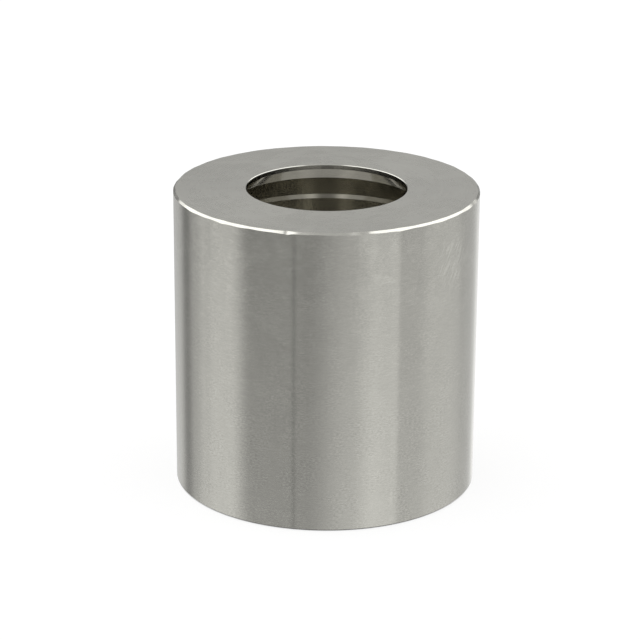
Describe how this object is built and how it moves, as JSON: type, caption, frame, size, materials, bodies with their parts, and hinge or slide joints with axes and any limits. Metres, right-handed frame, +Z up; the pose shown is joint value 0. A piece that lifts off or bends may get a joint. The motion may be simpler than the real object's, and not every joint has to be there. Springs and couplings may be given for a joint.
{
  "type": "mounting sleeve",
  "caption": "Turned steel sleeve with a round bore open at the lower end and a thin end wall, whose round opening has a lip with a slanted underside.",
  "frame": {"origin": "centre of the lower end face, on the axis of the bore", "axes": "+Z up the axis of the bore, towards the end wall with the lip; the sleeve is round, so +X and +Y are free"},
  "size_m": [0.03, 0.03, 0.03],
  "materials": {
    "turned_steel": "fine turned, satin, with faint turning marks round the axis"
  },
  "bodies": {
    "root": {"sleeve": "turned_steel"}
  },
  "joints": []
}
